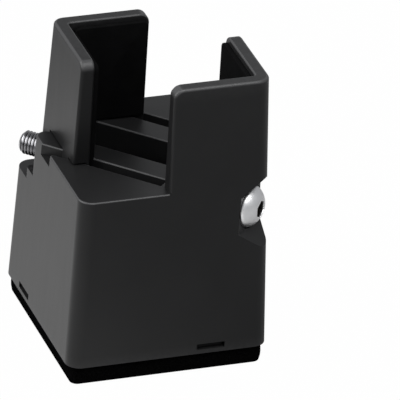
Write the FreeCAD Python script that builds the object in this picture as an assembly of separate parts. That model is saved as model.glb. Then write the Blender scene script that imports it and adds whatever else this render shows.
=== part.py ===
import FreeCAD, Part
import math
import os

from FreeCAD import Vector

# Bed riser with a screw clamp, in millimetres. X runs along the front face, Y towards the
# back, Z up. The origin is under the middle of the foot pad. A hollow tower carries a fixed
# L-shaped jaw on its front right corner. A second L-shaped jaw runs along the tower's
# diagonal in a channel and two slots, drawn in by a button head screw that seats in the front
# right corner.

# Tower
BASE_W = 104.0            # outside width at the tower's bottom edge
TOWER_H = 91.0            # bottom edge to deck
JAW_H = 56.5              # deck to the top of both jaws
DRAFT_DEG = 1.95          # every outer face leans in by this
CORNER_R = 7.2            # outer upright corners
SHELL_WALL = 3.2
DECK_T = 4.5
DECK_EDGE_R = 0.8
PLINTH_H = 2.0            # sharp-edged foot of the fixed jaw, let into the deck
WEB_T = 2.8               # upright webs inside the tower

# Foot pad and base plate
PAD_T = 10.5
PAD_INSET = 2.4           # pad edge to tower edge
PAD_CORNER_R = 3.5
PLATE_T = 2.5
PLATE_GAP = 0.25          # around the plate, its latches and their hooks
LATCH_T = 1.8
LATCH_RISE = 4.6          # latch top above the plate
HOOK_REACH = 1.4          # how far a hook stands out of its latch
HOOK_LIP = 0.7            # upright edge of a hook below its slope
WINDOW_W = 14.6
WINDOW_H = 3.2
WINDOW_RISE = -0.4        # window bottom above the plate's top
WINDOW_FROM_CORNER = 30.4 # tower corner to the window's middle

# Jaws
JAW_WALL = 6.8            # arm thickness at the top
FIXED_ARM_END = 3.6       # an arm of the fixed jaw ends this far past the middle line
SLIDING_ARM_END = 10.4
SLIDING_TOP_HALF = 39.0   # middle to the sliding jaw's outer face, at its top
SLIDING_CORNER_R = 6.0
INNER_CORNER_R = 1.5
ARM_TOP_R = 5.2           # top corner of an arm, seen from its side
OUTER_EDGE_R = 1.6
INNER_EDGE_R = 1.0
JAW_LIFT = 1.0            # underside of the sliding jaw above the deck

# Liners on the inner faces of the jaws
LINER_T = 2.6
LINER_DROP = 3.0          # liner top below the jaw's top
LINER_END_INSET = 1.2
LINER_CORNER_R = 3.0
LINER_MITRE_GAP = 0.2     # between the two liners of a jaw

# Screw and nut. Places along the diagonal count from the middle towards the fixed jaw.
SCREW_R = 6.0
SCREW_LENGTH = 125.0
SCREW_DEPTH = 16.3        # deck to screw axis
SEAT_AT = 58.0
HEAD_R = 10.5
HEAD_RIM_T = 1.6
HEAD_H = 6.6
HEAD_CROWN_R = 4.8        # flat around the socket
DOME_BULGE = 0.7
SOCKET_AF = 8.0
SOCKET_DEPTH = 4.6
POINT_CHAMFER = 1.2
BORE_GAP = 0.4            # around the screw
NUT_AF = 18.0
NUT_T = 10.8
NUT_AT = -50.0            # outer face of the nut
NUT_CHAMFER = 0.8
NUT_BORE_GAP = 0.12
NUT_POCKET_GAP = 0.15

# Recess for the screw head
HEAD_SINK = 0.6           # round pocket under the head, inward from the recess
HEAD_GAP = 1.0            # around the head in its pocket
RECESS_ABOVE = 9.2        # screw axis to the roof, where it meets the recess's upright wall
RECESS_BELOW = 10.7
RECESS_ROOF_DEG = 50.0
RECESS_FLOOR_DEG = 43.0
RECESS_WALL = 4.2
BOSS_WALL = 4.0           # around the screw's bore

# Channel and guide slots in the deck, and what runs in them
CHANNEL_HALF = 10.6
SHELF_DEPTH = 22.7        # deck to the shelf on each side of the channel's floor
KEEL_HALF = 8.6           # half the groove between the shelves
KEEL_DEPTH = 28.7         # deck to the groove's floor
CHANNEL_END = 28.0
CHANNEL_WALL = 3.4
SLOT_IN = 24.4
SLOT_OUT = 31.3
SLOT_DEPTH = 6.0
SLOT_END = 24.2
CHANNEL_MOUTH_R = 5.0     # rounds where the channel, the groove and the slots leave the tower
KEEL_MOUTH_R = 2.5
SLOT_MOUTH_R = 1.5
RUN_GAP = 0.3             # carriage and tongues to the walls that they slide along
CARRIAGE_FRONT = -36.0    # the carriage reaches up to the deck as far as this
NOSE_FRONT = -32.0        # then a lower nose goes on round the screw
NOSE_WALL = 3.0

# Places that follow from the sizes above
SLOPE = math.tan(math.radians(DRAFT_DEG))
BOTTOM_Z = PAD_T
PLATE_TOP = BOTTOM_Z + PLATE_T
DECK_Z = BOTTOM_Z + TOWER_H
TOP_Z = DECK_Z + JAW_H
AXIS_Z = DECK_Z - SCREW_DEPTH
SHELF_Z = DECK_Z - SHELF_DEPTH
KEEL_FLOOR_Z = DECK_Z - KEEL_DEPTH
SLOT_FLOOR_Z = DECK_Z - SLOT_DEPTH
JAW_FOOT_Z = DECK_Z + JAW_LIFT
WINDOW_LOW_Z = PLATE_TOP + WINDOW_RISE
WINDOW_AT = BASE_W / 2 - WINDOW_FROM_CORNER
FIXED_INNER = BASE_W / 2 - (TOP_Z - BOTTOM_Z) * SLOPE - JAW_WALL
SLIDING_INNER = SLIDING_TOP_HALF - JAW_WALL
BORE_R = SCREW_R + BORE_GAP
BOSS_R = BORE_R + BOSS_WALL
HEX_CORNER = 2 / math.sqrt(3)
FAR = 2 * BASE_W          # longer than anything that is cut
NEAR = 0.001              # two places closer than this are the same


def tower_half(z):
    """Middle to the tower's outer face at height z."""
    return BASE_W / 2 - (z - BOTTOM_Z) * SLOPE


def sliding_half(z):
    """Middle to the sliding jaw's outer face at height z."""
    return SLIDING_TOP_HALF + (TOP_Z - z) * SLOPE


def middle_of(edge):
    return edge.valueAt((edge.FirstParameter + edge.LastParameter) / 2)


def polygon_face(points):
    return Part.Face(Part.makePolygon(points + points[:1]))


def flat_sided_block(outline_at, low, high, radii):
    """Block between two heights with flat sides, each upright edge rounded by its own radius.

    outline_at gives the (x, y) corners at a height, anticlockwise as seen from above.
    """
    lower, upper = [[Vector(x, y, z) for x, y in outline_at(z)] for z in (low, high)]
    faces = [polygon_face(lower[::-1]), polygon_face(upper)]
    for i, corner in enumerate(lower):
        faces.append(polygon_face([lower[i - 1], corner, upper[i], upper[i - 1]]))
    block = Part.Solid(Part.Shell(faces))
    for radius in sorted(set(radii) - {0}):
        middles = [(a + b) / 2 for a, b, r in zip(lower, upper, radii) if r == radius]
        edges = []
        for edge in block.Edges:
            if any((middle_of(edge) - middle).Length < NEAR for middle in middles):
                edges.append(edge)
        block = block.makeFillet(radius, edges)
    return block


def tapered_square(half_at, low, high, radius):
    """Upright block with rounded corners and a half-width that changes with height."""
    def outline_at(z):
        half = half_at(z)
        return [(-half, -half), (half, -half), (half, half), (-half, half)]

    return flat_sided_block(outline_at, low, high, [radius] * 4)


def along_diagonal(shape):
    """Turns a shape modelled with X along the screw so that X points at the fixed jaw."""
    turned = shape.copy()
    turned.rotate(Vector(0, 0, 0), Vector(0, 0, 1), -45)
    return turned


def diagonal_section(points, start, end):
    """Extrudes a section, given as (across, height) points, along the screw."""
    section = polygon_face([Vector(start, across, z) for across, z in points])
    return along_diagonal(section.extrude(Vector(end - start, 0, 0)))


def diagonal_side(points, half_width):
    """Extrudes a side view, given as (along, height) points, across the screw."""
    section = polygon_face([Vector(along, -half_width, z) for along, z in points])
    return along_diagonal(section.extrude(Vector(0, 2 * half_width, 0)))


def diagonal_turned(points, dome_at=None, dome_middle=None):
    """Turns a half profile, given as (along, radius) points, about the screw axis.

    The span that starts at the point numbered dome_at is an arc through dome_middle.
    """
    places = [Vector(along, 0, radius) for along, radius in points]
    edges = []
    for i, place in enumerate(places):
        following = places[(i + 1) % len(places)]
        if i == dome_at:
            through = Vector(dome_middle[0], 0, dome_middle[1])
            edges.append(Part.Arc(place, through, following).toShape())
        else:
            edges.append(Part.makeLine(place, following))
    profile = Part.Face(Part.Wire(edges))
    solid = profile.revolve(Vector(0, 0, 0), Vector(1, 0, 0), 360)
    solid.translate(Vector(0, 0, AXIS_Z))
    return along_diagonal(solid)


def diagonal_rod(radius, start, end):
    rod = Part.makeCylinder(radius, end - start, Vector(start, 0, AXIS_Z), Vector(1, 0, 0))
    return along_diagonal(rod)


def hexagon_bar(across_flats, start, end):
    """Hexagonal bar on the screw axis with its corners up and down."""
    corner_r = across_flats / 2 * HEX_CORNER
    points = []
    for i in range(6):
        angle = math.radians(60 * i + 90)
        points.append((corner_r * math.cos(angle), AXIS_Z + corner_r * math.sin(angle)))
    return diagonal_section(points, start, end)


def mirrored_points(points):
    """A section's right half, then the same points on its left, back to the start."""
    return points + [(-across, z) for across, z in reversed(points)]


def mirrored_in_diagonal(shape):
    return shape.mirror(Vector(0, 0, 0), Vector(1, 1, 0))


def turned_half(shape):
    turned = shape.copy()
    turned.rotate(Vector(0, 0, 0), Vector(0, 0, 1), 180)
    return turned


def at_windows(shape):
    """A shape made at the front window, repeated at all four."""
    pair = [shape, mirrored_in_diagonal(shape)]
    return pair + [turned_half(one) for one in pair]


def arm_prism(half_at, inner, end, corner_r, low, high, end_radii=(0, 0)):
    """L-shaped block whose corner points to the back left, with upright inner faces."""
    def outline_at(z):
        outer = half_at(z)
        side = [(-outer, outer), (-outer, -end), (-inner, -end)]
        return side + [(-inner, inner), (end, inner), (end, outer)]

    outer_r, inner_r = end_radii
    radii = [corner_r, outer_r, inner_r, INNER_CORNER_R, inner_r, outer_r]
    return flat_sided_block(outline_at, low, high, radii)


def jaw_wall(half_at, inner, end, corner_r, foot_z):
    """An L-shaped jaw with drafted outer faces, upright inner faces and rounded edges."""
    wall = arm_prism(half_at, inner, end, corner_r, foot_z, TOP_Z)

    round_at = Vector(end - ARM_TOP_R, 0, TOP_Z - ARM_TOP_R)
    corner = Part.makeBox(FAR, FAR, FAR, round_at)
    corner = corner.cut(Part.makeCylinder(ARM_TOP_R, FAR, round_at, Vector(0, 1, 0)))
    wall = wall.cut([corner, mirrored_in_diagonal(corner)])

    def at_rim(point):
        on_arm_end = point.x > round_at.x + NEAR or point.y < -round_at.x - NEAR
        return point.z > foot_z + NEAR and (on_arm_end or abs(point.z - TOP_Z) < NEAR)

    def on_outer(point):
        behind = min(point.x + half_at(point.z), half_at(point.z) - point.y)
        past_inner = point.x < -inner - INNER_CORNER_R and point.y > inner + INNER_CORNER_R
        return at_rim(point) and (behind < NEAR or past_inner)

    def on_inner(point):
        return at_rim(point) and abs(min(point.x + inner, inner - point.y)) < INNER_CORNER_R / 2

    wall = wall.makeFillet(OUTER_EDGE_R, [edge for edge in wall.Edges if on_outer(middle_of(edge))])
    return wall.makeFillet(INNER_EDGE_R, [edge for edge in wall.Edges if on_inner(middle_of(edge))])


def channel_section(gap, top):
    """The channel with its groove, with its walls moved in by gap."""
    return mirrored_points([
        (CHANNEL_HALF - gap, top),
        (CHANNEL_HALF - gap, SHELF_Z + gap),
        (KEEL_HALF - gap, SHELF_Z + gap),
        (KEEL_HALF - gap, KEEL_FLOOR_Z + gap),
    ])


def slot_section(gap, top):
    return [
        (SLOT_IN + gap, SLOT_FLOOR_Z + gap),
        (SLOT_OUT - gap, SLOT_FLOOR_Z + gap),
        (SLOT_OUT - gap, top),
        (SLOT_IN + gap, top),
    ]


def channel_and_slots():
    channel = diagonal_section(channel_section(0, TOP_Z), -FAR, CHANNEL_END)
    slot = diagonal_section(slot_section(0, TOP_Z), -FAR, SLOT_END)
    return [channel, slot, mirrored_in_diagonal(slot)]


def round_mouths(block):
    """Rounds the thin tips where the channel, the groove and the slots leave the tower's faces."""
    for across, low, high, radius in (
        (CHANNEL_HALF, SHELF_Z, DECK_Z, CHANNEL_MOUTH_R),
        (KEEL_HALF, KEEL_FLOOR_Z, SHELF_Z, KEEL_MOUTH_R),
        (SLOT_OUT, SLOT_FLOOR_Z, DECK_Z, SLOT_MOUTH_R),
    ):
        tips = []
        for edge in block.Edges:
            heights = sorted(vertex.Z for vertex in edge.Vertexes)
            if len(heights) < 2 or abs(heights[0] - low) > NEAR or abs(heights[1] - high) > NEAR:
                continue
            middle = middle_of(edge)
            outside = max(-middle.x, middle.y) > tower_half(middle.z) - NEAR
            if outside and abs(abs(middle.x + middle.y) - across * math.sqrt(2)) < NEAR:
                tips.append(edge)
        block = block.makeFillet(radius, tips)
    return block


def round_deck(block):
    edges = []
    for face in block.Faces:
        if all(abs(vertex.Z - DECK_Z) < NEAR for vertex in face.Vertexes):
            edges.extend(face.OuterWire.Edges)
    return block.makeFillet(DECK_EDGE_R, edges)


def recess_side(offset):
    """Side view of the screw head's recess, with its walls moved out by offset."""
    reach = FAR / 4
    roof = math.radians(RECESS_ROOF_DEG)
    floor = math.radians(RECESS_FLOOR_DEG)
    low = AXIS_Z - RECESS_BELOW - offset * (1 / math.cos(floor) - math.tan(floor))
    high = AXIS_Z + RECESS_ABOVE + offset * (1 / math.cos(roof) - math.tan(roof))
    wall = SEAT_AT + HEAD_SINK - offset
    return [
        (wall, low),
        (wall, high),
        (wall + reach, high + reach * math.tan(roof)),
        (wall + reach, low - reach * math.tan(floor)),
    ]


def tower_hollow():
    """The room inside the tower, less its webs and the walls of what is let into it."""
    def room_half(z):
        return tower_half(z) - SHELL_WALL

    room = tapered_square(room_half, BOTTOM_Z, DECK_Z - DECK_T, CORNER_R - SHELL_WALL)
    trough = mirrored_points([
        (SLOT_OUT + CHANNEL_WALL, DECK_Z),
        (SLOT_OUT + CHANNEL_WALL, SLOT_FLOOR_Z - CHANNEL_WALL),
        (CHANNEL_HALF + CHANNEL_WALL, SLOT_FLOOR_Z - CHANNEL_WALL),
        (CHANNEL_HALF + CHANNEL_WALL, SHELF_Z - CHANNEL_WALL),
        (KEEL_HALF + CHANNEL_WALL, SHELF_Z - CHANNEL_WALL),
        (KEEL_HALF + CHANNEL_WALL, KEEL_FLOOR_Z - CHANNEL_WALL),
    ])
    boss_top = [(BOSS_R, DECK_Z), (BOSS_R, AXIS_Z), (-BOSS_R, AXIS_Z), (-BOSS_R, DECK_Z)]
    web = Part.makeBox(WEB_T, FAR, TOWER_H, Vector(-WEB_T / 2, -FAR / 2, PLATE_TOP))
    kept = [
        diagonal_section(trough, -FAR, CHANNEL_END + CHANNEL_WALL),
        diagonal_section(boss_top, CHANNEL_END, SEAT_AT),
        diagonal_rod(BOSS_R, CHANNEL_END, SEAT_AT),
        diagonal_side(recess_side(RECESS_WALL), BASE_W),
        web,
        mirrored_in_diagonal(web),
    ]
    return room.cut(kept)


def build_tower_body():
    block = tapered_square(tower_half, BOTTOM_Z, DECK_Z, CORNER_R)
    block = block.cut(channel_and_slots())
    block = round_deck(round_mouths(block))

    plinth = arm_prism(tower_half, FIXED_INNER, FIXED_ARM_END, CORNER_R, DECK_Z - PLINTH_H, DECK_Z)
    socket = arm_prism(lambda z: BASE_W, FIXED_INNER, FIXED_ARM_END, CORNER_R, DECK_Z - PLINTH_H, TOP_Z)
    wall = jaw_wall(tower_half, FIXED_INNER, FIXED_ARM_END, CORNER_R, DECK_Z)
    body = block.cut(turned_half(socket)).fuse([turned_half(plinth), turned_half(wall)])

    window_at = Vector(WINDOW_AT - WINDOW_W / 2, -BASE_W, WINDOW_LOW_Z)
    window = Part.makeBox(WINDOW_W, BASE_W - tower_half(PLATE_TOP) + 2 * SHELL_WALL, WINDOW_H, window_at)
    recess = diagonal_side(recess_side(0), BASE_W)
    head_room = diagonal_rod(HEAD_R + HEAD_GAP, SEAT_AT, FAR / 2)
    bore = diagonal_rod(BORE_R, 0, SEAT_AT)
    return body.cut([tower_hollow(), recess, head_room, bore] + at_windows(window)).removeSplitter()


def build_sliding_jaw():
    wall = jaw_wall(sliding_half, SLIDING_INNER, SLIDING_ARM_END, SLIDING_CORNER_R, JAW_FOOT_Z)

    # The carriage keeps to the jaw's outer faces and runs in the channel.
    outer = tapered_square(sliding_half, KEEL_FLOOR_Z, TOP_Z, SLIDING_CORNER_R)
    footprint = arm_prism(
        sliding_half, SLIDING_INNER, SLIDING_ARM_END, SLIDING_CORNER_R,
        KEEL_FLOOR_Z, JAW_FOOT_Z + JAW_LIFT, (OUTER_EDGE_R, INNER_EDGE_R),
    )
    under_deck = diagonal_section(channel_section(RUN_GAP, DECK_Z - RUN_GAP), -FAR, CARRIAGE_FRONT)
    nose = diagonal_section(channel_section(RUN_GAP, AXIS_Z + BORE_R + NOSE_WALL), -FAR, NOSE_FRONT)
    riser = diagonal_section(channel_section(RUN_GAP, TOP_Z), -FAR, 0).common(footprint)
    tongue = diagonal_section(slot_section(RUN_GAP, TOP_Z), -FAR, 0).common(footprint)
    carriage = under_deck.fuse(nose).common(outer)
    body = wall.fuse([carriage, riser, tongue, mirrored_in_diagonal(tongue)])

    pocket = hexagon_bar(NUT_AF + 2 * NUT_POCKET_GAP, -FAR, NUT_AT + NUT_T)
    return body.cut([pocket, diagonal_rod(BORE_R, -FAR, 0)]).removeSplitter()


def build_clamp_screw():
    tip = SEAT_AT - SCREW_LENGTH
    crown = SEAT_AT + HEAD_H
    rim = SEAT_AT + HEAD_RIM_T
    profile = [
        (tip, 0),
        (tip, SCREW_R - POINT_CHAMFER),
        (tip + POINT_CHAMFER, SCREW_R),
        (SEAT_AT, SCREW_R),
        (SEAT_AT, HEAD_R),
        (rim, HEAD_R),
        (crown, HEAD_CROWN_R),
        (crown, 0),
    ]
    along, inward = crown - rim, HEAD_R - HEAD_CROWN_R
    bulge = DOME_BULGE / math.hypot(along, inward)
    middle = ((rim + crown) / 2 + inward * bulge, (HEAD_R + HEAD_CROWN_R) / 2 + along * bulge)
    screw = diagonal_turned(profile, 5, middle)
    return screw.cut(hexagon_bar(SOCKET_AF, crown - SOCKET_DEPTH, crown + HEAD_H))


def build_jaw_nut():
    end = NUT_AT + NUT_T
    flat_r = NUT_AF / 2
    corner_r = flat_r * HEX_CORNER
    rounding = diagonal_turned([
        (NUT_AT, 0),
        (NUT_AT, flat_r),
        (NUT_AT + NUT_CHAMFER, corner_r),
        (end - NUT_CHAMFER, corner_r),
        (end, flat_r),
        (end, 0),
    ])
    nut = hexagon_bar(NUT_AF, NUT_AT, end).common(rounding)
    return nut.cut(diagonal_rod(SCREW_R + NUT_BORE_GAP, NUT_AT - NUT_T, end + NUT_T))


def build_base_plate():
    def plate_half(z):
        return tower_half(z) - SHELL_WALL - PLATE_GAP

    plate = tapered_square(plate_half, BOTTOM_Z, PLATE_TOP, CORNER_R - SHELL_WALL - PLATE_GAP)
    width = WINDOW_W - 4 * PLATE_GAP
    latch_top = PLATE_TOP + LATCH_RISE
    face = plate_half(latch_top)
    low = WINDOW_LOW_Z + PLATE_GAP
    high = WINDOW_LOW_Z + WINDOW_H - PLATE_GAP
    outline = [
        (-face, BOTTOM_Z),
        (-face, low),
        (-face - HOOK_REACH, low),
        (-face - HOOK_REACH, low + HOOK_LIP),
        (-face, high),
        (-face, latch_top),
        (-face + LATCH_T, latch_top),
        (-face + LATCH_T, BOTTOM_Z),
    ]
    start = WINDOW_AT - width / 2
    section = polygon_face([Vector(start, y, z) for y, z in outline])
    latch = section.extrude(Vector(width, 0, 0))
    return plate.fuse(at_windows(latch)).removeSplitter()


def build_foot_pad():
    return tapered_square(lambda z: BASE_W / 2 - PAD_INSET, 0, PAD_T, PAD_CORNER_R)


def build_liner(inner, end):
    """Liner on the back arm of a jaw whose corner points to the back left."""
    left = LINER_T + LINER_MITRE_GAP - inner
    right = end - LINER_END_INSET
    high = TOP_Z - LINER_DROP
    low_corner = Vector(left, inner - LINER_T, JAW_FOOT_Z)
    liner = Part.makeBox(right - left, LINER_T, high - JAW_FOOT_Z, low_corner)
    rounded = []
    for edge in liner.Edges:
        middle = middle_of(edge)
        if abs(middle.z - high) < NEAR and abs(middle.y - inner + LINER_T / 2) < NEAR:
            rounded.append(edge)
    return liner.makeFillet(LINER_CORNER_R, rounded)


sliding_back_liner = build_liner(SLIDING_INNER, SLIDING_ARM_END)
fixed_front_liner = turned_half(build_liner(FIXED_INNER, FIXED_ARM_END))
nodes = {
    "tower_body": build_tower_body(),
    "base_plate": build_base_plate(),
    "foot_pad": build_foot_pad(),
    "fixed_front_liner": fixed_front_liner,
    "fixed_side_liner": mirrored_in_diagonal(fixed_front_liner),
    "sliding_jaw": build_sliding_jaw(),
    "jaw_nut": build_jaw_nut(),
    "sliding_back_liner": sliding_back_liner,
    "sliding_left_liner": mirrored_in_diagonal(sliding_back_liner),
    "clamp_screw": build_clamp_screw(),
}
os.makedirs("parts", exist_ok=True)
for name, shape in nodes.items():
    solids = shape.Solids
    print(name, len(solids), shape.isValid(), round(shape.Volume, 1))
    solids[0].exportStep(f"parts/{name}.step")
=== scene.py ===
import bpy
import math
from mathutils import Matrix, Vector


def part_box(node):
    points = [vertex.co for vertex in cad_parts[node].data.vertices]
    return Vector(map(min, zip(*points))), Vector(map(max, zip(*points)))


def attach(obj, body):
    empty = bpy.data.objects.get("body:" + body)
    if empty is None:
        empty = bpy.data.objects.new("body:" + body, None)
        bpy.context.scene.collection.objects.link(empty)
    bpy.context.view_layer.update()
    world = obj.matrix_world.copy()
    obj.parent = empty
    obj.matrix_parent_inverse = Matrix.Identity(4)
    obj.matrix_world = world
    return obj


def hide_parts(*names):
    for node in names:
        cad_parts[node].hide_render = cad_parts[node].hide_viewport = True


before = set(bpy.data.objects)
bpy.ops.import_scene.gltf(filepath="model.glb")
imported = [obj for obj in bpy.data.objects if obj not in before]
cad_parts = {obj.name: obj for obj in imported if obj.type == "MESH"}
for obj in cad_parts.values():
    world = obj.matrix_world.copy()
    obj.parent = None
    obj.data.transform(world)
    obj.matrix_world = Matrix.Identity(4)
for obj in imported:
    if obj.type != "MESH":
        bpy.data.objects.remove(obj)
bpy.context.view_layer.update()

# Tower with the fixed jaw. One injection moulding in black nylon with a fine spark-eroded grain.
# Handling has rubbed the rim at its foot and the top of its jaw paler, and its rounded upper edges are
# made paler with a painted highlight.
tower_black = (0.0055, 0.0055, 0.0057)
tower_rubbed = (0.020, 0.020, 0.0205)
# Painted highlight: the colour that the rounded upper edges are painted in.
edge_painted_highlight = (0.050, 0.050, 0.051)
highlight_from_wall = (0.10, 0.45)       # Z of the normal where the painted edge highlight begins and is full
highlight_to_top = (0.999, 0.96)         # the same on the side of a flat top


def moulded_plastic(name, dark, rubbed, gloss, foot, rim, painted_highlight_from):
    """Satin black moulding, with the heights between which its foot and its rim are rubbed, and
    the height from which its rounded upper edges get a painted highlight."""
    plastic = bpy.data.materials.new(name)
    plastic.use_nodes = True
    nodes, links = plastic.node_tree.nodes, plastic.node_tree.links
    shader = nodes["Principled BSDF"]
    shader.inputs["Specular IOR Level"].default_value = gloss
    shader.inputs["IOR"].default_value = 1.45
    place = nodes.new("ShaderNodeTexCoord")

    cloud = nodes.new("ShaderNodeTexNoise")
    cloud.inputs["Scale"].default_value = 34
    cloud.inputs["Detail"].default_value = 5
    links.new(place.outputs["Object"], cloud.inputs["Vector"])
    flow_turn = nodes.new("ShaderNodeMapping")
    flow_turn.inputs["Scale"].default_value = (1, 1, 0.12)
    links.new(place.outputs["Object"], flow_turn.inputs["Vector"])
    flow = nodes.new("ShaderNodeTexNoise")
    flow.inputs["Scale"].default_value = 260
    flow.inputs["Detail"].default_value = 3
    links.new(flow_turn.outputs["Vector"], flow.inputs["Vector"])

    height = nodes.new("ShaderNodeSeparateXYZ")
    links.new(place.outputs["Object"], height.inputs["Vector"])
    at_foot = nodes.new("ShaderNodeMapRange")
    at_foot.inputs["From Min"].default_value = foot[1]
    at_foot.inputs["From Max"].default_value = foot[0]
    links.new(height.outputs["Z"], at_foot.inputs["Value"])
    at_rim = nodes.new("ShaderNodeMapRange")
    at_rim.inputs["From Min"].default_value = rim[0]
    at_rim.inputs["From Max"].default_value = rim[1]
    links.new(height.outputs["Z"], at_rim.inputs["Value"])
    ends = nodes.new("ShaderNodeMath")
    ends.operation = "MAXIMUM"
    links.new(at_foot.outputs["Result"], ends.inputs[0])
    links.new(at_rim.outputs["Result"], ends.inputs[1])
    scuff = nodes.new("ShaderNodeTexNoise")
    scuff.inputs["Scale"].default_value = 420
    scuff.inputs["Detail"].default_value = 6
    links.new(place.outputs["Object"], scuff.inputs["Vector"])
    scuffed = nodes.new("ShaderNodeMath")
    scuffed.operation = "MULTIPLY"
    links.new(ends.outputs["Value"], scuffed.inputs[0])
    links.new(scuff.outputs["Fac"], scuffed.inputs[1])
    cloudy = nodes.new("ShaderNodeMath")
    cloudy.operation = "MULTIPLY_ADD"
    cloudy.inputs[1].default_value = 0.35
    links.new(cloud.outputs["Fac"], cloudy.inputs[0])
    links.new(scuffed.outputs["Value"], cloudy.inputs[2])
    tone = nodes.new("ShaderNodeMix")
    tone.data_type = "RGBA"
    tone.inputs["A"].default_value = (*dark, 1)
    tone.inputs["B"].default_value = (*rubbed, 1)
    links.new(cloudy.outputs["Value"], tone.inputs["Factor"])

    facing = nodes.new("ShaderNodeSeparateXYZ")
    links.new(place.outputs["Normal"], facing.inputs["Vector"])
    off_wall = nodes.new("ShaderNodeMapRange")
    off_wall.inputs["From Min"].default_value = highlight_from_wall[0]
    off_wall.inputs["From Max"].default_value = highlight_from_wall[1]
    links.new(facing.outputs["Z"], off_wall.inputs["Value"])
    off_top = nodes.new("ShaderNodeMapRange")
    off_top.inputs["From Min"].default_value = highlight_to_top[0]
    off_top.inputs["From Max"].default_value = highlight_to_top[1]
    links.new(facing.outputs["Z"], off_top.inputs["Value"])
    on_round = nodes.new("ShaderNodeMath")
    on_round.operation = "MULTIPLY"
    links.new(off_wall.outputs["Result"], on_round.inputs[0])
    links.new(off_top.outputs["Result"], on_round.inputs[1])
    is_high = nodes.new("ShaderNodeMath")
    is_high.operation = "GREATER_THAN"
    is_high.inputs[1].default_value = painted_highlight_from
    links.new(height.outputs["Z"], is_high.inputs[0])
    # Painted highlight: rounded edges above the given height are painted paler.
    on_highlight_edge = nodes.new("ShaderNodeMath")
    on_highlight_edge.operation = "MULTIPLY"
    links.new(on_round.outputs["Value"], on_highlight_edge.inputs[0])
    links.new(is_high.outputs["Value"], on_highlight_edge.inputs[1])
    highlight_edged = nodes.new("ShaderNodeMix")
    highlight_edged.data_type = "RGBA"
    highlight_edged.inputs["B"].default_value = (*edge_painted_highlight, 1)
    links.new(on_highlight_edge.outputs["Value"], highlight_edged.inputs["Factor"])
    links.new(tone.outputs["Result"], highlight_edged.inputs["A"])
    links.new(highlight_edged.outputs["Result"], shader.inputs["Base Color"])

    sheen = nodes.new("ShaderNodeMapRange")
    sheen.inputs["From Min"].default_value = 0.3
    sheen.inputs["From Max"].default_value = 0.7
    sheen.inputs["To Min"].default_value = 0.375
    sheen.inputs["To Max"].default_value = 0.395
    links.new(flow.outputs["Fac"], sheen.inputs["Value"])
    links.new(sheen.outputs["Result"], shader.inputs["Roughness"])

    erosion = nodes.new("ShaderNodeTexNoise")
    erosion.inputs["Scale"].default_value = 1500
    erosion.inputs["Detail"].default_value = 2
    links.new(place.outputs["Object"], erosion.inputs["Vector"])
    relief = nodes.new("ShaderNodeBump")
    relief.inputs["Strength"].default_value = 0.25
    relief.inputs["Distance"].default_value = 0.00012
    links.new(erosion.outputs["Fac"], relief.inputs["Height"])
    links.new(relief.outputs["Normal"], shader.inputs["Normal"])
    return plastic


def finish_node(name, material):
    """Gives a part of the frame its finish, in place of the plain one that it came with."""
    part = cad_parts[name]
    part.data.materials.clear()
    part.data.materials.append(material)


tower_plastic = moulded_plastic(
    "tower_plastic", tower_black, tower_rubbed, gloss=0.35,
    foot=(0.0105, 0.016), rim=(0.150, 0.158), painted_highlight_from=0.099,
)
finish_node("tower_body", tower_plastic)

# Sliding jaw. The same black nylon from another mould, a shade duller than the tower, with its
# carriage and tongues rubbed paler where they run in the channel and slots.
jaw_black = (0.0045, 0.0045, 0.0047)
jaw_rubbed = (0.018, 0.018, 0.0185)
jaw_plastic = moulded_plastic(
    "jaw_plastic", jaw_black, jaw_rubbed, gloss=0.295,
    foot=(0.072, 0.104), rim=(0.152, 0.158), painted_highlight_from=0.104,
)
finish_node("sliding_jaw", jaw_plastic)

# Base plate with its four snap latches. A thin black moulding that is pushed in from below.
plate_plastic = moulded_plastic(
    "plate_plastic", jaw_black, jaw_rubbed, gloss=0.20,
    foot=(0.0100, 0.012), rim=(0.016, 0.018), painted_highlight_from=0.020,
)
finish_node("base_plate", plate_plastic)

# Foam foot pad. Closed-cell black foam, cut square with round corners and stuck under the
# plate. The weight makes its sides bulge a little and rounds its edges.
pad_low, pad_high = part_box("foot_pad")
pad_half = (pad_high[0] - pad_low[0]) / 2
pad_t = pad_high[2] - pad_low[2]
pad_corner_r = 0.0035
pad_edge_in = 0.0006
pad_layers = (                # share of the thickness from below, how far the side stands out
    (0.035, -0.0002), (0.12, 0.0), (0.30, 0.0003), (0.50, 0.0004), (0.70, 0.0003), (0.88, 0.0),
)

bpy.ops.object.select_all(action="DESELECT")
bpy.ops.mesh.primitive_cube_add(
    size=1, location=(0, 0, pad_t / 2), scale=(2 * pad_half, 2 * pad_half, pad_t),
)
bpy.ops.object.transform_apply(location=True, rotation=True, scale=True)
pad = bpy.context.object
pad.name = "foam_pad"
bpy.ops.object.mode_set(mode="EDIT")
bpy.ops.mesh.select_mode(type="EDGE")
bpy.ops.object.mode_set(mode="OBJECT")
for edge in pad.data.edges:
    ends = [pad.data.vertices[i].co for i in edge.vertices]
    edge.select = abs(ends[0].z - ends[1].z) > pad_t / 2
for face in pad.data.polygons:
    face.select = False
bpy.ops.object.mode_set(mode="EDIT")
bpy.ops.mesh.bevel(offset=pad_corner_r, segments=10, affect="EDGES")
for share, _ in pad_layers:
    bpy.ops.mesh.select_all(action="SELECT")
    bpy.ops.mesh.bisect(plane_co=(0, 0, share * pad_t), plane_no=(0, 0, 1))
bpy.ops.object.mode_set(mode="OBJECT")
pad_offsets = ((0.0, -pad_edge_in), *pad_layers, (1.0, -pad_edge_in / 3))
for vertex in pad.data.vertices:
    share = vertex.co.z / pad_t
    outward = min(pad_offsets, key=lambda layer: abs(layer[0] - share))[1]
    away = Vector((vertex.co.x, vertex.co.y, 0))
    square_away = max(abs(away.x), abs(away.y))
    vertex.co += away / square_away * outward
bpy.ops.object.shade_smooth_by_angle(angle=math.radians(50))

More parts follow.
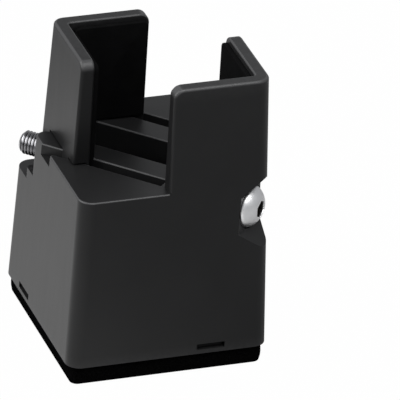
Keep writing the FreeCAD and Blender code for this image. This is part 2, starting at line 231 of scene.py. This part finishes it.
pad_foam = bpy.data.materials.new("pad_foam")
pad_foam.use_nodes = True
foam_nodes, foam_links = pad_foam.node_tree.nodes, pad_foam.node_tree.links
foam_shader = foam_nodes["Principled BSDF"]
foam_shader.inputs["Specular IOR Level"].default_value = 0
foam_place = foam_nodes.new("ShaderNodeTexCoord")
foam_cells = foam_nodes.new("ShaderNodeTexVoronoi")
foam_cells.inputs["Scale"].default_value = 1300
foam_links.new(foam_place.outputs["Object"], foam_cells.inputs["Vector"])
foam_lumps = foam_nodes.new("ShaderNodeTexNoise")
foam_lumps.inputs["Scale"].default_value = 500
foam_lumps.inputs["Detail"].default_value = 4
foam_links.new(foam_place.outputs["Object"], foam_lumps.inputs["Vector"])
foam_tone = foam_nodes.new("ShaderNodeMix")
foam_tone.data_type = "RGBA"
foam_tone.inputs["A"].default_value = (0.0006, 0.0006, 0.0006, 1)
foam_tone.inputs["B"].default_value = (0.0040, 0.0040, 0.0041, 1)
foam_links.new(foam_cells.outputs["Distance"], foam_tone.inputs["Factor"])
foam_links.new(foam_tone.outputs["Result"], foam_shader.inputs["Base Color"])
foam_matt = foam_nodes.new("ShaderNodeMapRange")
foam_matt.inputs["To Min"].default_value = 0.80
foam_matt.inputs["To Max"].default_value = 0.98
foam_links.new(foam_lumps.outputs["Fac"], foam_matt.inputs["Value"])
foam_links.new(foam_matt.outputs["Result"], foam_shader.inputs["Roughness"])
foam_height = foam_nodes.new("ShaderNodeMath")
foam_height.operation = "ADD"
foam_links.new(foam_cells.outputs["Distance"], foam_height.inputs[0])
foam_links.new(foam_lumps.outputs["Fac"], foam_height.inputs[1])
foam_relief = foam_nodes.new("ShaderNodeBump")
foam_relief.inputs["Strength"].default_value = 0.7
foam_relief.inputs["Distance"].default_value = 0.0004
foam_links.new(foam_height.outputs["Value"], foam_relief.inputs["Height"])
foam_links.new(foam_relief.outputs["Normal"], foam_shader.inputs["Normal"])
pad.data.materials.append(pad_foam)
finish_node("foot_pad", pad_foam)
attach(pad, "tower")
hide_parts("foot_pad")

# Liners on the inner faces of the jaws. Black rubber sheet, 2.6 mm thick, die cut with round
# top corners and glued on. The two of a jaw are alike, so the second is a copy turned a quarter.
liner_corner_r = 0.0030
liner_soft_edge = 0.0005

liner_rubber = bpy.data.materials.new("liner_rubber")
liner_rubber.use_nodes = True
rubber_nodes, rubber_links = liner_rubber.node_tree.nodes, liner_rubber.node_tree.links
rubber_shader = rubber_nodes["Principled BSDF"]
rubber_shader.inputs["Specular IOR Level"].default_value = 0.02
rubber_place = rubber_nodes.new("ShaderNodeTexCoord")
rubber_cloud = rubber_nodes.new("ShaderNodeTexNoise")
rubber_cloud.inputs["Scale"].default_value = 120
rubber_cloud.inputs["Detail"].default_value = 6
rubber_links.new(rubber_place.outputs["Object"], rubber_cloud.inputs["Vector"])
rubber_tone = rubber_nodes.new("ShaderNodeMix")
rubber_tone.data_type = "RGBA"
rubber_tone.inputs["A"].default_value = (0.0020, 0.0020, 0.0021, 1)
rubber_tone.inputs["B"].default_value = (0.0055, 0.0055, 0.0057, 1)
rubber_links.new(rubber_cloud.outputs["Fac"], rubber_tone.inputs["Factor"])
rubber_links.new(rubber_tone.outputs["Result"], rubber_shader.inputs["Base Color"])
rubber_matt = rubber_nodes.new("ShaderNodeMapRange")
rubber_matt.inputs["To Min"].default_value = 0.78
rubber_matt.inputs["To Max"].default_value = 0.95
rubber_links.new(rubber_cloud.outputs["Fac"], rubber_matt.inputs["Value"])
rubber_links.new(rubber_matt.outputs["Result"], rubber_shader.inputs["Roughness"])
rubber_grain = rubber_nodes.new("ShaderNodeTexNoise")
rubber_grain.inputs["Scale"].default_value = 2600
rubber_links.new(rubber_place.outputs["Object"], rubber_grain.inputs["Vector"])
rubber_relief = rubber_nodes.new("ShaderNodeBump")
rubber_relief.inputs["Strength"].default_value = 0.3
rubber_relief.inputs["Distance"].default_value = 0.00008
rubber_links.new(rubber_grain.outputs["Fac"], rubber_relief.inputs["Height"])
rubber_links.new(rubber_relief.outputs["Normal"], rubber_shader.inputs["Normal"])


def cut_liner(node, name):
    """A sheet of rubber in the place of a liner that runs along X."""
    low, high = [Vector(corner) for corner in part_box(node)]
    bpy.ops.object.select_all(action="DESELECT")
    bpy.ops.mesh.primitive_cube_add(size=1, location=(low + high) / 2, scale=high - low)
    bpy.ops.object.transform_apply(location=True, rotation=True, scale=True)
    liner = bpy.context.object
    liner.name = name
    bpy.ops.object.mode_set(mode="EDIT")
    bpy.ops.mesh.select_mode(type="EDGE")
    bpy.ops.mesh.select_all(action="DESELECT")
    bpy.ops.object.mode_set(mode="OBJECT")
    for edge in liner.data.edges:
        ends = [liner.data.vertices[i].co for i in edge.vertices]
        across = abs(ends[0].y - ends[1].y) > (high.y - low.y) / 2
        edge.select = across and min(end.z for end in ends) > (low.z + high.z) / 2
    bpy.ops.object.mode_set(mode="EDIT")
    bpy.ops.mesh.bevel(offset=liner_corner_r, segments=8, affect="EDGES")
    bpy.ops.object.mode_set(mode="OBJECT")
    soften = liner.modifiers.new("soften", "BEVEL")
    soften.width = liner_soft_edge
    soften.segments = 3
    soften.limit_method = "ANGLE"
    soften.angle_limit = math.radians(45)
    bpy.ops.object.modifier_apply(modifier="soften")
    bpy.ops.object.shade_smooth_by_angle(angle=math.radians(40))
    liner.data.materials.append(liner_rubber)
    return liner


def turned_copy(liner, node, name):
    """The same sheet turned a quarter, in the place of the same jaw's other liner."""
    low, high = [Vector(corner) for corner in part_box(node)]
    copy = liner.copy()
    copy.data = liner.data.copy()
    copy.name = name
    bpy.context.scene.collection.objects.link(copy)
    copy.data.transform(Matrix.Rotation(math.radians(90), 4, "Z"))
    corners = [vertex.co for vertex in copy.data.vertices]
    now_low = Vector([min(corner[i] for corner in corners) for i in range(3)])
    now_high = Vector([max(corner[i] for corner in corners) for i in range(3)])
    copy.data.transform(Matrix.Translation((low + high - now_low - now_high) / 2))
    return copy


def fit_liner(liner, node, body):
    """Puts a sheet in the place of its node, on the body that carries it."""
    finish_node(node, liner_rubber)
    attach(liner, body)
    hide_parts(node)


front_liner = cut_liner("fixed_front_liner", "front_liner_sheet")
side_liner = turned_copy(front_liner, "fixed_side_liner", "side_liner_sheet")
back_liner = cut_liner("sliding_back_liner", "back_liner_sheet")
left_liner = turned_copy(back_liner, "sliding_left_liner", "left_liner_sheet")
fit_liner(front_liner, "fixed_front_liner", "tower")
fit_liner(side_liner, "fixed_side_liner", "tower")
fit_liner(back_liner, "sliding_back_liner", "jaw")
fit_liner(left_liner, "sliding_left_liner", "jaw")

# Clamp screw. Stainless M12 button head screw: a rolled right-hand thread from its smooth
# point to the head, and a domed head that is turned and broached with an 8 mm hexagon. Painted
# shade darkens the roots of the thread and the socket.
screw_length = 0.125
head_seat = 0.0580            # middle of the riser to the underside of the head, on the diagonal
screw_height = 0.0852
thread_pitch = 0.00175
thread_r = 0.0060
thread_root_r = 0.00493
thread_flank = 0.00062        # how long a flank is, measured along the screw
thread_crest = 0.00022
thread_steps = 40             # faces in one turn of the thread
thread_into_head = 0.0004     # how far the shank is sunk into the head
point_r = 0.0044              # the smooth point's radius at its end
point_filled = 0.0013         # how far up from the end the point has no groove
head_r = 0.0105
head_rim_t = 0.0016
head_h = 0.0066
head_crown_r = 0.0048
head_bulge = 0.0014           # how far the dome's middle control point lies off its chord
head_break = 0.0003
head_steps = 72               # faces round the head
dome_steps = 10               # faces from its rim to its crown
socket_flats = 0.0080
socket_depth = 0.0046
socket_break = 0.00018
root_shade_out = (0.0049, 0.0053)    # radius where the painted shade thins out and where the steel is bare
unshaded_crown = (0.0009, 0.0002)  # the same two, measured down from the top of the head
unshaded_tip = (0.0015, 0.0010)    # and up from the end of the point
weld = 0.000002               # points nearer than this become one

screw_steel = bpy.data.materials.new("screw_steel")
screw_steel.use_nodes = True
steel_nodes, steel_links = screw_steel.node_tree.nodes, screw_steel.node_tree.links
steel_shader = steel_nodes["Principled BSDF"]
steel_shader.inputs["Metallic"].default_value = 1
steel_place = steel_nodes.new("ShaderNodeTexCoord")
steel_cloud = steel_nodes.new("ShaderNodeTexNoise")
steel_cloud.inputs["Scale"].default_value = 300
steel_cloud.inputs["Detail"].default_value = 5
steel_links.new(steel_place.outputs["Object"], steel_cloud.inputs["Vector"])
steel_tone = steel_nodes.new("ShaderNodeMix")
steel_tone.data_type = "RGBA"
steel_tone.inputs["A"].default_value = (0.90, 0.90, 0.91, 1)
steel_tone.inputs["B"].default_value = (0.97, 0.97, 0.97, 1)
steel_links.new(steel_cloud.outputs["Fac"], steel_tone.inputs["Factor"])
steel_turn = steel_nodes.new("ShaderNodeMapping")
steel_turn.inputs["Location"].default_value = (0, 0, -screw_height)
steel_turn.inputs["Rotation"].default_value = (0, 0, math.radians(45))
steel_links.new(steel_place.outputs["Object"], steel_turn.inputs["Vector"])
steel_parts = steel_nodes.new("ShaderNodeSeparateXYZ")
steel_links.new(steel_turn.outputs["Vector"], steel_parts.inputs["Vector"])
steel_across = steel_nodes.new("ShaderNodeCombineXYZ")
steel_links.new(steel_parts.outputs["Y"], steel_across.inputs["Y"])
steel_links.new(steel_parts.outputs["Z"], steel_across.inputs["Z"])
steel_radius = steel_nodes.new("ShaderNodeVectorMath")
steel_radius.operation = "LENGTH"
steel_links.new(steel_across.outputs["Vector"], steel_radius.inputs[0])
steel_out = steel_nodes.new("ShaderNodeMapRange")
steel_out.inputs["From Min"].default_value = root_shade_out[0]
steel_out.inputs["From Max"].default_value = root_shade_out[1]
steel_links.new(steel_radius.outputs["Value"], steel_out.inputs["Value"])
steel_crown = steel_nodes.new("ShaderNodeMapRange")
steel_crown.inputs["From Min"].default_value = head_seat + head_h - unshaded_crown[0]
steel_crown.inputs["From Max"].default_value = head_seat + head_h - unshaded_crown[1]
steel_links.new(steel_parts.outputs["X"], steel_crown.inputs["Value"])
steel_tip = steel_nodes.new("ShaderNodeMapRange")
steel_tip.inputs["From Min"].default_value = head_seat - screw_length + unshaded_tip[0]
steel_tip.inputs["From Max"].default_value = head_seat - screw_length + unshaded_tip[1]
steel_links.new(steel_parts.outputs["X"], steel_tip.inputs["Value"])
steel_ends = steel_nodes.new("ShaderNodeMath")
steel_ends.operation = "MAXIMUM"
steel_links.new(steel_crown.outputs["Result"], steel_ends.inputs[0])
steel_links.new(steel_tip.outputs["Result"], steel_ends.inputs[1])
steel_unshaded = steel_nodes.new("ShaderNodeMath")
steel_unshaded.operation = "MAXIMUM"
steel_links.new(steel_out.outputs["Result"], steel_unshaded.inputs[0])
steel_links.new(steel_ends.outputs["Value"], steel_unshaded.inputs[1])
# Painted shade: steel nearer the axis than the crests, in the thread's roots and the socket, is made
# nearly black.
steel_painted_shade = steel_nodes.new("ShaderNodeMix")
steel_painted_shade.data_type = "RGBA"
steel_painted_shade.inputs["A"].default_value = (0.020, 0.019, 0.018, 1)
steel_links.new(steel_unshaded.outputs["Value"], steel_painted_shade.inputs["Factor"])
steel_at_head = steel_nodes.new("ShaderNodeMath")
steel_at_head.operation = "GREATER_THAN"
steel_at_head.inputs[1].default_value = head_seat
steel_links.new(steel_parts.outputs["X"], steel_at_head.inputs[0])
# The thread is given a darker steel than the head.
steel_thread_darker = steel_nodes.new("ShaderNodeMix")
steel_thread_darker.data_type = "RGBA"
steel_thread_darker.inputs["A"].default_value = (0.40, 0.40, 0.41, 1)
steel_links.new(steel_at_head.outputs["Value"], steel_thread_darker.inputs["Factor"])
steel_links.new(steel_tone.outputs["Result"], steel_thread_darker.inputs["B"])
steel_links.new(steel_thread_darker.outputs["Result"], steel_painted_shade.inputs["B"])
steel_links.new(steel_painted_shade.outputs["Result"], steel_shader.inputs["Base Color"])
steel_polish = steel_nodes.new("ShaderNodeMapRange")
steel_polish.inputs["To Min"].default_value = 0.16
steel_polish.inputs["To Max"].default_value = 0.26
steel_links.new(steel_cloud.outputs["Fac"], steel_polish.inputs["Value"])
steel_turned = steel_nodes.new("ShaderNodeMath")
steel_turned.operation = "MULTIPLY_ADD"
steel_turned.inputs[1].default_value = 0.17
steel_links.new(steel_at_head.outputs["Value"], steel_turned.inputs[0])
steel_links.new(steel_polish.outputs["Result"], steel_turned.inputs[2])
steel_links.new(steel_turned.outputs["Value"], steel_shader.inputs["Roughness"])
steel_along = steel_nodes.new("ShaderNodeMapping")
steel_along.inputs["Rotation"].default_value = (0, 0, math.radians(45))
steel_along.inputs["Scale"].default_value = (9000, 400, 400)
steel_links.new(steel_place.outputs["Object"], steel_along.inputs["Vector"])
steel_lines = steel_nodes.new("ShaderNodeTexNoise")
steel_lines.inputs["Scale"].default_value = 1
steel_links.new(steel_along.outputs["Vector"], steel_lines.inputs["Vector"])
steel_relief = steel_nodes.new("ShaderNodeBump")
steel_relief.inputs["Strength"].default_value = 0.1
steel_relief.inputs["Distance"].default_value = 0.00003
steel_links.new(steel_lines.outputs["Fac"], steel_relief.inputs["Height"])
steel_links.new(steel_relief.outputs["Normal"], steel_shader.inputs["Normal"])


def line_through(points, name):
    """An open line in the XZ plane through (radius, height) points, as a profile to sweep."""
    bpy.ops.object.select_all(action="DESELECT")
    bpy.ops.mesh.primitive_circle_add(vertices=len(points), fill_type="NOTHING")
    line = bpy.context.object
    line.name = name
    for vertex, (radius, height) in zip(line.data.vertices, points):
        vertex.co = (radius, 0, height)
    last = len(points) - 1
    bpy.ops.object.mode_set(mode="EDIT")
    bpy.ops.mesh.select_mode(type="EDGE")
    bpy.ops.mesh.select_all(action="DESELECT")
    bpy.ops.object.mode_set(mode="OBJECT")
    for edge in line.data.edges:
        edge.select = set(edge.vertices) == {0, last}
    bpy.ops.object.mode_set(mode="EDIT")
    bpy.ops.mesh.delete(type="EDGE")
    bpy.ops.object.mode_set(mode="OBJECT")
    return line


def sweep(line, steps, turns, rise):
    """Turns a profile about Z, rising by the pitch on each turn."""
    turning = line.modifiers.new("turning", "SCREW")
    turning.axis = "Z"
    turning.steps = steps
    turning.render_steps = steps
    turning.iterations = turns
    turning.screw_offset = rise
    turning.use_merge_vertices = True
    turning.merge_threshold = weld
    bpy.ops.object.modifier_apply(modifier="turning")


root_half = (thread_pitch - thread_crest) / 2 - thread_flank
thread_start = -1.5 * thread_pitch          # the turns past both ends are cut off below
thread_turns = math.ceil(screw_length / thread_pitch) + 3
thread = line_through([
    (thread_root_r, thread_start),
    (thread_root_r, thread_start + root_half),
    (thread_r, thread_start + root_half + thread_flank),
    (thread_r, thread_start + root_half + thread_flank + thread_crest),
    (thread_root_r, thread_start + thread_pitch - root_half),
    (thread_root_r, thread_start + thread_pitch),
], "screw_thread")
sweep(thread, thread_steps, thread_turns, thread_pitch)
bpy.ops.object.mode_set(mode="EDIT")
bpy.ops.mesh.select_all(action="SELECT")
bpy.ops.mesh.remove_doubles(threshold=weld)
bpy.ops.mesh.select_all(action="SELECT")
bpy.ops.mesh.bisect(plane_co=(0, 0, 0), plane_no=(0, 0, 1), use_fill=True, clear_inner=True)
bpy.ops.mesh.select_all(action="SELECT")
bpy.ops.mesh.bisect(
    plane_co=(0, 0, screw_length + thread_into_head), plane_no=(0, 0, 1), use_fill=True, clear_outer=True,
)
bpy.ops.mesh.select_all(action="SELECT")
bpy.ops.mesh.normals_make_consistent(inside=False)
bpy.ops.object.mode_set(mode="OBJECT")
for vertex in thread.data.vertices:
    across = math.hypot(vertex.co.x, vertex.co.y)
    most = point_r + vertex.co.z
    if across > most or vertex.co.z < point_filled:
        vertex.co.x *= most / across
        vertex.co.y *= most / across
bpy.ops.object.shade_smooth_by_angle(angle=math.radians(35))

outward = Vector((head_h - head_rim_t, head_r - head_crown_r)).normalized() * head_bulge
bulge_r = (head_r + head_crown_r) / 2 + outward.x
bulge_h = (head_rim_t + head_h) / 2 + outward.y
dome = []
for step in range(dome_steps + 1):
    share = step / dome_steps
    rim_part, middle_part, crown_part = (1 - share) ** 2, 2 * share * (1 - share), share ** 2
    dome.append((
        rim_part * head_r + middle_part * bulge_r + crown_part * head_crown_r,
        rim_part * head_rim_t + middle_part * bulge_h + crown_part * head_h,
    ))
head = line_through(
    [(0, 0), (head_r - head_break, 0), (head_r, head_break), *dome, (0, head_h)], "screw_head",
)
sweep(head, head_steps, 1, 0)
bpy.ops.object.mode_set(mode="EDIT")
bpy.ops.mesh.select_all(action="SELECT")
bpy.ops.mesh.remove_doubles(threshold=weld)
bpy.ops.mesh.normals_make_consistent(inside=False)
bpy.ops.object.mode_set(mode="OBJECT")
bpy.ops.object.select_all(action="DESELECT")
bpy.ops.mesh.primitive_cylinder_add(
    vertices=6, radius=socket_flats / math.sqrt(3), depth=2 * socket_depth,
    location=(0, 0, head_h), rotation=(0, 0, math.radians(30)),
)
broach = bpy.context.object
bpy.ops.object.transform_apply(location=True, rotation=True, scale=True)
bpy.ops.object.select_all(action="DESELECT")
head.select_set(True)
bpy.context.view_layer.objects.active = head
broaching = head.modifiers.new("broaching", "BOOLEAN")
broaching.operation = "DIFFERENCE"
broaching.solver = "EXACT"
broaching.object = broach
bpy.ops.object.modifier_apply(modifier="broaching")
bpy.data.objects.remove(broach)
broken_edge = head.modifiers.new("broken_edge", "BEVEL")
broken_edge.width = socket_break
broken_edge.segments = 2
broken_edge.limit_method = "ANGLE"
broken_edge.angle_limit = math.radians(38)
bpy.ops.object.modifier_apply(modifier="broken_edge")
bpy.ops.object.shade_smooth_by_angle(angle=math.radians(35))
head.data.transform(Matrix.Translation((0, 0, screw_length)))
thread.select_set(True)
head.select_set(True)
bpy.context.view_layer.objects.active = thread
bpy.ops.object.join()
screw = bpy.context.object
screw.name = "threaded_screw"
diagonal = math.sqrt(0.5)
tip_at = (head_seat - screw_length) * diagonal
screw.data.transform(Matrix((
    (0, -diagonal, diagonal, tip_at),
    (0, -diagonal, -diagonal, -tip_at),
    (1, 0, 0, screw_height),
    (0, 0, 0, 1),
)))
screw.data.materials.append(screw_steel)
finish_node("clamp_screw", screw_steel)
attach(screw, "screw")
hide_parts("clamp_screw")

# Nut in the carriage. Zinc-plated steel, pressed into its pocket from the back left, with a
# duller, slightly mottled skin than the screw's.
nut_steel = bpy.data.materials.new("nut_steel")
nut_steel.use_nodes = True
nut_nodes, nut_links = nut_steel.node_tree.nodes, nut_steel.node_tree.links
nut_shader = nut_nodes["Principled BSDF"]
nut_shader.inputs["Metallic"].default_value = 1
nut_place = nut_nodes.new("ShaderNodeTexCoord")
nut_spangle = nut_nodes.new("ShaderNodeTexVoronoi")
nut_spangle.inputs["Scale"].default_value = 900
nut_links.new(nut_place.outputs["Object"], nut_spangle.inputs["Vector"])
nut_tone = nut_nodes.new("ShaderNodeMix")
nut_tone.data_type = "RGBA"
nut_tone.inputs["A"].default_value = (0.50, 0.51, 0.53, 1)
nut_tone.inputs["B"].default_value = (0.66, 0.67, 0.69, 1)
nut_links.new(nut_spangle.outputs["Distance"], nut_tone.inputs["Factor"])
nut_links.new(nut_tone.outputs["Result"], nut_shader.inputs["Base Color"])
nut_polish = nut_nodes.new("ShaderNodeMapRange")
nut_polish.inputs["To Min"].default_value = 0.28
nut_polish.inputs["To Max"].default_value = 0.46
nut_links.new(nut_spangle.outputs["Distance"], nut_polish.inputs["Value"])
nut_links.new(nut_polish.outputs["Result"], nut_shader.inputs["Roughness"])
nut_relief = nut_nodes.new("ShaderNodeBump")
nut_relief.inputs["Strength"].default_value = 0.1
nut_relief.inputs["Distance"].default_value = 0.00005
nut_links.new(nut_spangle.outputs["Distance"], nut_relief.inputs["Height"])
nut_links.new(nut_relief.outputs["Normal"], nut_shader.inputs["Normal"])
finish_node("jaw_nut", nut_steel)

# Studio. White paper as floor and background, with a painted pool of light: in a long pool beside
# the riser's left the paper glows white in reflections, though no lamp lights it there. A large soft box
# stands on the left, a smaller one hangs above the front right and a weak one stands behind, in a dim
# room.
paper_gap = 0.0002            # between the foot pad and the paper
paper_white_share = 0.99      # how white the camera sees it, and how bright the painted pool glows in reflections
soft_boxes_aim = Vector((0, 0, 0.08))

paper = bpy.data.materials.new("paper")
paper.use_nodes = True
paper_nodes, paper_links = paper.node_tree.nodes, paper.node_tree.links
paper_shader = paper_nodes["Principled BSDF"]
paper_shader.inputs["Base Color"].default_value = (0.33, 0.33, 0.33, 1)
paper_shader.inputs["Roughness"].default_value = 0.9
paper_shader.inputs["Specular IOR Level"].default_value = 0
paper_place = paper_nodes.new("ShaderNodeTexCoord")
paper_long = paper_nodes.new("ShaderNodeMapping")
paper_long.inputs["Scale"].default_value = (1, 0.6, 1)
paper_links.new(paper_place.outputs["Object"], paper_long.inputs["Vector"])
paper_away = paper_nodes.new("ShaderNodeVectorMath")
paper_away.operation = "DISTANCE"
paper_away.inputs[1].default_value = (-0.14, 0.018, 0)
paper_links.new(paper_long.outputs["Vector"], paper_away.inputs[0])
# Painted pool of light: near this point the paper glows white for glossy rays.
painted_light_pool = paper_nodes.new("ShaderNodeMapRange")
painted_light_pool.interpolation_type = "SMOOTHSTEP"
painted_light_pool.inputs["From Min"].default_value = 0.08
painted_light_pool.inputs["From Max"].default_value = 0.22
painted_light_pool.inputs["To Min"].default_value = 1
painted_light_pool.inputs["To Max"].default_value = 0.0
paper_links.new(paper_away.outputs["Value"], painted_light_pool.inputs["Value"])
paper_ray = paper_nodes.new("ShaderNodeLightPath")
paper_seen = paper_nodes.new("ShaderNodeMath")
paper_seen.operation = "MULTIPLY_ADD"
paper_links.new(paper_ray.outputs["Is Glossy Ray"], paper_seen.inputs[0])
paper_links.new(painted_light_pool.outputs["Result"], paper_seen.inputs[1])
paper_links.new(paper_ray.outputs["Is Camera Ray"], paper_seen.inputs[2])
paper_share = paper_nodes.new("ShaderNodeMath")
paper_share.operation = "MULTIPLY"
paper_share.inputs[1].default_value = paper_white_share
paper_links.new(paper_seen.outputs["Value"], paper_share.inputs[0])
paper_white = paper_nodes.new("ShaderNodeEmission")
paper_white.inputs["Color"].default_value = (1, 1, 1, 1)
paper_white.inputs["Strength"].default_value = 1
paper_mix = paper_nodes.new("ShaderNodeMixShader")
paper_links.new(paper_share.outputs["Value"], paper_mix.inputs[0])
paper_links.new(paper_shader.outputs["BSDF"], paper_mix.inputs[1])
paper_links.new(paper_white.outputs["Emission"], paper_mix.inputs[2])
paper_links.new(paper_mix.outputs["Shader"], paper_nodes["Material Output"].inputs["Surface"])
bpy.ops.object.select_all(action="DESELECT")
bpy.ops.mesh.primitive_plane_add(size=12, location=(0, 0, -paper_gap))
floor = bpy.context.object
floor.name = "paper_floor"
floor.data.materials.append(paper)

room = bpy.data.worlds.new("dim_room")
bpy.context.scene.world = room
room.use_nodes = True
room_nodes, room_links = room.node_tree.nodes, room.node_tree.links
room_ray = room_nodes.new("ShaderNodeLightPath")
room_dim = room_nodes["Background"]
room_dim.inputs["Color"].default_value = (0.92, 0.95, 1, 1)
room_dim.inputs["Strength"].default_value = 0.27
room_white = room_nodes.new("ShaderNodeBackground")
room_white.inputs["Color"].default_value = (1, 1, 1, 1)
room_white.inputs["Strength"].default_value = 1
room_seen = room_nodes.new("ShaderNodeMath")
room_seen.operation = "MULTIPLY_ADD"
room_seen.inputs[1].default_value = 0.18
room_links.new(room_ray.outputs["Is Glossy Ray"], room_seen.inputs[0])
room_links.new(room_ray.outputs["Is Camera Ray"], room_seen.inputs[2])
room_mix = room_nodes.new("ShaderNodeMixShader")
room_links.new(room_seen.outputs["Value"], room_mix.inputs[0])
room_links.new(room_dim.outputs["Background"], room_mix.inputs[1])
room_links.new(room_white.outputs["Background"], room_mix.inputs[2])
room_links.new(room_mix.outputs["Shader"], room_nodes["World Output"].inputs["Surface"])


def soft_box(name, at, size, watts):
    """A square lamp that looks at the middle of the riser."""
    lamp = bpy.data.lights.new(name, "AREA")
    lamp.shape = "SQUARE"
    lamp.size = size
    lamp.energy = watts
    box = bpy.data.objects.new(name, lamp)
    bpy.context.scene.collection.objects.link(box)
    box.location = at
    box.rotation_euler = (soft_boxes_aim - Vector(at)).to_track_quat("-Z", "Y").to_euler()


soft_box("left_soft_box", at=(-2.0, 0.4, 1.60), size=2.5, watts=74)
soft_box("top_soft_box", at=(0.2, -1.0, 2.2), size=1.5, watts=46)
soft_box("back_soft_box", at=(0.6, 2.0, 1.5), size=1.8, watts=1.4)

# Camera. Far back with a long lens, as the photograph was taken from above the front left
# edge, and rolled a little.
camera_yaw = 0.36289
camera_down = 0.50961
camera_roll = 0.06368
camera_distance = 3.9610
camera_across = 0.028603
camera_up = -0.003255
looked_at = Vector((0, 0, 0.075))
ahead = Vector((
    math.sin(camera_yaw) * math.cos(camera_down),
    math.cos(camera_yaw) * math.cos(camera_down),
    -math.sin(camera_down),
))
level_right = Vector((math.cos(camera_yaw), -math.sin(camera_yaw), 0))
level_up = level_right.cross(ahead)
to_right = math.cos(camera_roll) * level_right + math.sin(camera_roll) * level_up
to_top = math.cos(camera_roll) * level_up - math.sin(camera_roll) * level_right
stand = looked_at - camera_distance * ahead + camera_across * to_right + camera_up * to_top
lens = bpy.data.cameras.new("camera")
lens.sensor_width = 36
lens.lens = 720
lens.clip_end = 50
camera = bpy.data.objects.new("camera", lens)
bpy.context.scene.collection.objects.link(camera)
camera.matrix_world = Matrix.Translation(stand) @ Matrix((to_right, to_top, -ahead)).transposed().to_4x4()
bpy.context.scene.camera = camera
bpy.context.scene.view_settings.view_transform = "Standard"
